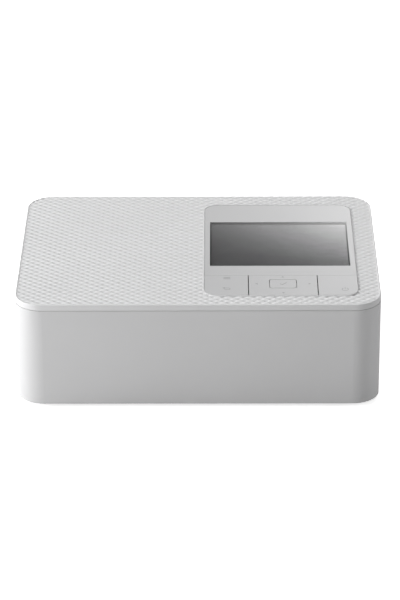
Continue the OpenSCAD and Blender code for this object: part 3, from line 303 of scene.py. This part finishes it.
# ---------------------------------------------------------------- textured top cover
CELL_X, CELL_Y = 5.194, 4.238      # period of the dimples; every other row is half a period on
DIMPLE = 0.67                      # depth in mm
LEAN = 0.02                        # share of the slanted wave in the dimples' outline
SHARPNESS = 1.5                    # over 1, the dimples narrow and the lands between them widen
FADE = 0.4                         # strip along the edges over which the dimples run out
EDGE_R = 0.55                      # fillet of the rim
GRID_X, GRID_Y = CELL_X / 13, CELL_Y / 10
CASE_BOX = (-HX, HX, -HY, HY)
OPENING = (PANEL[0] - PANEL_GAP, PANEL[1] + PANEL_GAP, PANEL[2] - PANEL_GAP, PANEL[3] + PANEL_GAP)
OPENING_R = PANEL_R + PANEL_GAP
LIP = 0.25                         # rounded edge of the panel's opening
RIDGE_INSET = 0.22                 # the shadow gap under the rim, in from the case's outline
RIDGE_LIFT = 0.06                  # and how far its lower end stays above the walls


def dimple(x, y):
    """Depth of the skin at a point: shallow dimples, with a trace of a lean."""
    u, v = x / CELL_X, y / CELL_Y
    wave = math.cos(2 * math.pi * u) * math.cos(2 * math.pi * v)
    lean = math.sin(2 * math.pi * u) * math.sin(2 * math.pi * v)
    return DIMPLE * max(0.0, 0.5 + 0.5 * (wave + LEAN * lean)) ** SHARPNESS


def top_skin(bm):
    """Grid over the top, cut to the fillet outside and to the panel's opening inside."""
    columns = int(HX / GRID_X) + 2
    rows = int(HY / GRID_Y) + 2
    outer_box = (-HX + EDGE_R, HX - EDGE_R, -HY + EDGE_R, HY - EDGE_R)
    outer_r = CORNER_R - EDGE_R
    inner_box = (OPENING[0] - LIP, OPENING[1] + LIP, OPENING[2] - LIP, OPENING[3] + LIP)
    inner_r = OPENING_R + LIP
    made = {}
    for i in range(-columns, columns + 1):
        for j in range(-rows, rows + 1):
            x, y = i * GRID_X, j * GRID_Y
            out, way = inside_by(x, y, outer_box, outer_r)
            into, way_in = inside_by(x, y, inner_box, inner_r)
            made[i, j] = (x, y, out, way, into, way_in)
    verts = {}

    def vertex(key):
        if key not in verts:
            x, y, out, way, into, way_in = made[key]
            if out < 0:
                x, y = x + way[0] * out, y + way[1] * out
            if into > 0:
                x, y = x + way_in[0] * into, y + way_in[1] * into
            edge = max(0.0, min(out, -into))
            fade = min(1.0, edge / FADE)
            verts[key] = bm.verts.new((x, y, TOP - dimple(x, y) * fade))
        return verts[key]

    for i in range(-columns, columns):
        for j in range(-rows, rows):
            corners = ((i, j), (i + 1, j), (i + 1, j + 1), (i, j + 1))
            if any(made[c][2] > 0 and made[c][4] < 0 for c in corners):
                bm.faces.new([vertex(c) for c in corners])
    bmesh.ops.dissolve_degenerate(bm, dist=1e-4, edges=bm.edges)


def rim(bm):
    """Outer wall of the rim with its fillet, and the rounded lip of the panel's opening."""
    arc = [math.radians(a) for a in range(0, 91, 15)]
    loops = []
    for inset, z in [(0.0, RIM_Z), (0.0, TOP - EDGE_R)] + [
        (EDGE_R * (1 - math.cos(a)), TOP - EDGE_R * (1 - math.sin(a))) for a in arc[1:]
    ]:
        loops.append([(x, y, z) for x, y in rounded_outline(CASE_BOX, CORNER_R, inset)])
    loft(bm, loops)
    ridge = rounded_outline(CASE_BOX, CORNER_R, RIDGE_INSET)
    loft(bm, [[(x, y, z) for x, y in ridge] for z in (WALL_TOP + RIDGE_LIFT, RIM_Z)])
    loops = []
    for a in arc:
        grow = LIP * (1 - math.sin(a))
        z = TOP - LIP * (1 - math.cos(a))
        loops.append([(x, y, z) for x, y in rounded_outline(OPENING, OPENING_R, grow - LIP)])
    loft(bm, loops)


def top_cover():
    """The CAD cover's underside and walls, with a dimpled skin and rounded rim for its plain top."""
    bm = bmesh.new()
    bm.from_mesh(nodes["top_cover"].data)
    for v in bm.verts:
        v.co /= MM
    near = 0.02
    plain = []
    for face in bm.faces:
        spots = [v.co for v in face.verts]
        flat_top = all(p.z > TOP - near for p in spots)
        on_outline = all(abs(inside_by(p.x, p.y, CASE_BOX, CORNER_R)[0]) < near for p in spots)
        outside = on_outline and all(p.z > RIM_Z - near for p in spots)
        if flat_top or (outside and abs(face.normal.z) < 0.5):
            plain.append(face)
    bmesh.ops.delete(bm, geom=plain, context="FACES")
    top_skin(bm)
    rim(bm)
    finish_piece("top_cover_skin", bm, "top_plastic", "case", ("top_cover",))


top_cover()


# ---------------------------------------------------------------- rounded edges of plain CAD pieces
EDGES = {
    "side_left": 0.35, "side_right": 0.35, "rear_panel": 0.2, "fascia": 0.2, "base": 0.4,
    "front_door": 0.45, "ink_door": 0.3, "rear_flap": 0.25, "display_bezel": 0.22, "display_window": 0.1,
    "key_frame": 0.15, "menu_key": 0.22, "nav_pad": 0.22, "power_key": 0.22, "ok_key": 0.22,
}
for name, width in EDGES.items():
    bevel = nodes[name].modifiers.new("edges", "BEVEL")
    bevel.width = width * MM
    bevel.segments = 3
    bevel.limit_method = "ANGLE"
    bevel.angle_limit = math.radians(50)
    bevel.harden_normals = True


# ---------------------------------------------------------------- marks on the keys
MARK = 0.03                        # thickness of the print
ink = Shader("key_print")
ink_grain = ink.noise(9000.0, 2.0)
materials["key_print"] = ink.set(
    Base_Color=ink.mix(ink.ramp(ink_grain, 0.3, 0.7), (0.25, 0.25, 0.255), (0.30, 0.30, 0.305)),
    Roughness=ink.ramp(ink_grain, 0.3, 0.7, 0.4, 0.55),
)


def plate(bm, outline):
    """A thin raised mark from an outline in mm, lying on the keys' upper face."""
    low = [bm.verts.new((x, y, TOP)) for x, y in outline]
    high = [bm.verts.new((x, y, TOP + MARK)) for x, y in outline]
    bm.faces.new(high)
    for k in range(len(low)):
        n = (k + 1) % len(low)
        bm.faces.new((low[k], low[n], high[n], high[k]))


def stroke(bm, points, width):
    """A line of constant width through the points."""
    sides = ([], [])
    for k, (x, y) in enumerate(points):
        x0, y0 = points[max(k - 1, 0)]
        x1, y1 = points[min(k + 1, len(points) - 1)]
        far = math.hypot(x1 - x0, y1 - y0)
        nx, ny = -(y1 - y0) / far * width / 2, (x1 - x0) / far * width / 2
        sides[0].append((x + nx, y + ny))
        sides[1].append((x - nx, y - ny))
    for k in range(len(points) - 1):
        plate(bm, [sides[1][k], sides[1][k + 1], sides[0][k + 1], sides[0][k]])


def arc_points(cx, cy, r, start, end, steps=20):
    turns = [math.radians(start + (end - start) * k / steps) for k in range(steps + 1)]
    return [(cx + r * math.cos(a), cy + r * math.sin(a)) for a in turns]


def marks(name, body, draw):
    bm = bmesh.new()
    draw(bm)
    finish_piece(name, bm, "key_print", body, smooth=False)


def menu_marks(bm):
    x, y = 14.5, -35.6
    for k in (-1, 0, 1):
        stroke(bm, [(x - 1.7, y + 0.95 * k), (x + 1.7, y + 0.95 * k)], 0.36)
    x, y = 14.4, -48.0
    bend = arc_points(x + 0.7, y, 0.9, 80, -90, 12)
    stroke(bm, [(x - 1.2, y + 0.9), (x + 0.7, y + 0.9), *bend, (x - 1.3, y - 0.9)], 0.34)
    plate(bm, [(x - 2.2, y + 0.9), (x - 1.1, y + 0.1), (x - 1.1, y + 1.7)])


def arrow(bm, x, y, turn, size=0.75):
    c, s = math.cos(math.radians(turn)), math.sin(math.radians(turn))
    corners = [(size, 0.0), (-0.6 * size, size), (-0.6 * size, -size)]
    plate(bm, [(x + c * a - s * b, y + s * a + c * b) for a, b in corners])


def nav_marks(bm):
    for x, y, turn in ((42.55, -34.4, 90), (42.55, -52.6, 270), (29.4, -42.3, 180), (55.8, -42.3, 0)):
        arrow(bm, x, y, turn)


def ok_marks(bm):
    stroke(bm, [(41.0, -42.2), (42.1, -43.4), (44.3, -40.9)], 0.42)


def power_marks(bm):
    x, y = 73.4, -48.7
    stroke(bm, arc_points(x, y, 1.55, 125, 415, 28), 0.36)
    stroke(bm, [(x, y + 0.3), (x, y + 2.1)], 0.36)


marks("menu_marks", "menu_key", menu_marks)
marks("nav_marks", "nav_pad", nav_marks)
marks("ok_mark", "ok_key", ok_marks)
marks("power_mark", "power_key", power_marks)

# ---------------------------------------------------------------- camera, light and floor
camera = bpy.data.objects.new("camera", bpy.data.cameras.new("camera"))
bpy.context.scene.collection.objects.link(camera)
bpy.context.scene.camera = camera
camera.data.lens = 168.94
camera.data.sensor_width = 36.0
camera.data.clip_start = 0.05
RIGHT = Vector((0.99997909, 0.00500543, -0.00409537))
UP = Vector((0.00149424, 0.43729178, 0.89931845))
AHEAD = Vector((-0.00629235, 0.89930576, -0.43727515))
camera.matrix_world = Matrix.Translation((0.009834, -1.313485, 0.666707)) @ Matrix(
    ((RIGHT.x, UP.x, -AHEAD.x), (RIGHT.y, UP.y, -AHEAD.y), (RIGHT.z, UP.z, -AHEAD.z))
).to_4x4()


def area_light(name, place, target, size, power):
    lamp = bpy.data.lights.new(name, "AREA")
    lamp.shape = "RECTANGLE"
    lamp.size, lamp.size_y = size
    lamp.energy = power
    holder = bpy.data.objects.new(name, lamp)
    bpy.context.scene.collection.objects.link(holder)
    holder.location = place
    holder.rotation_euler = (Vector(target) - Vector(place)).to_track_quat("-Z", "Y").to_euler()


area_light("key_left", (-0.95, -0.45, 0.42), (0, 0, 0.03), (0.4, 0.5), 10.4)
area_light("side_left", (-1.0, 0.3, 0.66), (0, 0, 0.05), (0.35, 0.35), 8.5)
area_light("overhead", (0.1, 0.5, 1.6), (0, 0, 0.04), (1.3, 1.1), 10)
area_light("rim_right", (0.95, 0.0, 0.3), (0.09, 0, 0.03), (0.3, 0.5), 1.6)


def reflector():
    """Soft card behind the printer that only shines show: its bright corner gives the screen its sheen."""
    bm = bmesh.new()
    corners = [(-0.6, 0.8, 0.12), (0.9, 0.8, 0.12), (0.9, 0.8, 0.9), (-0.6, 0.8, 0.9)]
    bm.faces.new([bm.verts.new(c) for c in corners])
    mesh = bpy.data.meshes.new("reflector")
    bm.to_mesh(mesh)
    bm.free()
    card = bpy.data.objects.new("reflector", mesh)
    bpy.context.scene.collection.objects.link(card)
    card.visible_camera = card.visible_diffuse = card.visible_shadow = False
    s = Shader("reflector")
    place = s.parts()
    across = s.ramp(place["X"], 0.0037, 0.1187, 0.0, 0.45)
    down = s.ramp(place["Z"], 0.4446, 0.4049, 0.0, 0.55)
    both = s.add("ShaderNodeMath", operation="ADD", use_clamp=True)
    s.join(across, both.inputs[0])
    s.join(down, both.inputs[1])
    curve = s.add("ShaderNodeMath", operation="POWER")
    s.join(both.outputs[0], curve.inputs[0])
    curve.inputs[1].default_value = 2.9
    glow = s.add("ShaderNodeEmission")
    s.join(s.ramp(curve.outputs[0], 0.0, 1.0, 0.15, 3.3), glow.inputs["Strength"])
    s.join(glow.outputs["Emission"], s.tree.nodes["Material Output"].inputs["Surface"])
    mesh.materials.append(s.mat)


reflector()

SOFT, SHEEN = 0.2, 0.6             # the room's strength for soft light, and for what gloss reflects
world = bpy.data.worlds.new("studio")
bpy.context.scene.world = world
world.use_nodes = True
tree = world.node_tree
sky = tree.nodes["Background"]
sky.inputs["Color"].default_value = (1.0, 1.0, 1.0, 1.0)
plain = tree.nodes.new("ShaderNodeBackground")
plain.inputs["Color"].default_value = (1.0, 1.0, 1.0, 1.0)
plain.inputs["Strength"].default_value = 1.0
path = tree.nodes.new("ShaderNodeLightPath")
shine = tree.nodes.new("ShaderNodeMapRange")
shine.inputs["To Min"].default_value = SOFT
shine.inputs["To Max"].default_value = SHEEN
tree.links.new(path.outputs["Is Glossy Ray"], shine.inputs["Value"])
tree.links.new(shine.outputs["Result"], sky.inputs["Strength"])
blend = tree.nodes.new("ShaderNodeMixShader")
tree.links.new(path.outputs["Is Camera Ray"], blend.inputs["Fac"])
tree.links.new(sky.outputs["Background"], blend.inputs[1])
tree.links.new(plain.outputs["Background"], blend.inputs[2])
tree.links.new(blend.outputs["Shader"], tree.nodes["World Output"].inputs["Surface"])

FLOOR_GLOW = 0.75                  # seen by the camera alone, so that the paper reads as white
bm = bmesh.new()
bmesh.ops.create_grid(bm, x_segments=8, y_segments=8, size=4.0)
floor_mesh = bpy.data.meshes.new("floor")
bm.to_mesh(floor_mesh)
bm.free()
floor = bpy.data.objects.new("floor", floor_mesh)
bpy.context.scene.collection.objects.link(floor)
paper = Shader("floor_paper")
tooth = paper.noise(400.0, 3.0)
seen = paper.add("ShaderNodeLightPath").outputs["Is Camera Ray"]
floor_mesh.materials.append(
    paper.set(
        Base_Color=paper.mix(paper.ramp(tooth, 0.3, 0.7), (0.88, 0.88, 0.88), (0.9, 0.9, 0.9)),
        Roughness=0.9,
        Specular_IOR_Level=0.1,
        Emission_Color=(1.0, 1.0, 1.0),
        Emission_Strength=paper.ramp(seen, 0.0, 1.0, 0.0, FLOOR_GLOW),
    )
)

bpy.context.scene.view_settings.view_transform = "Standard"
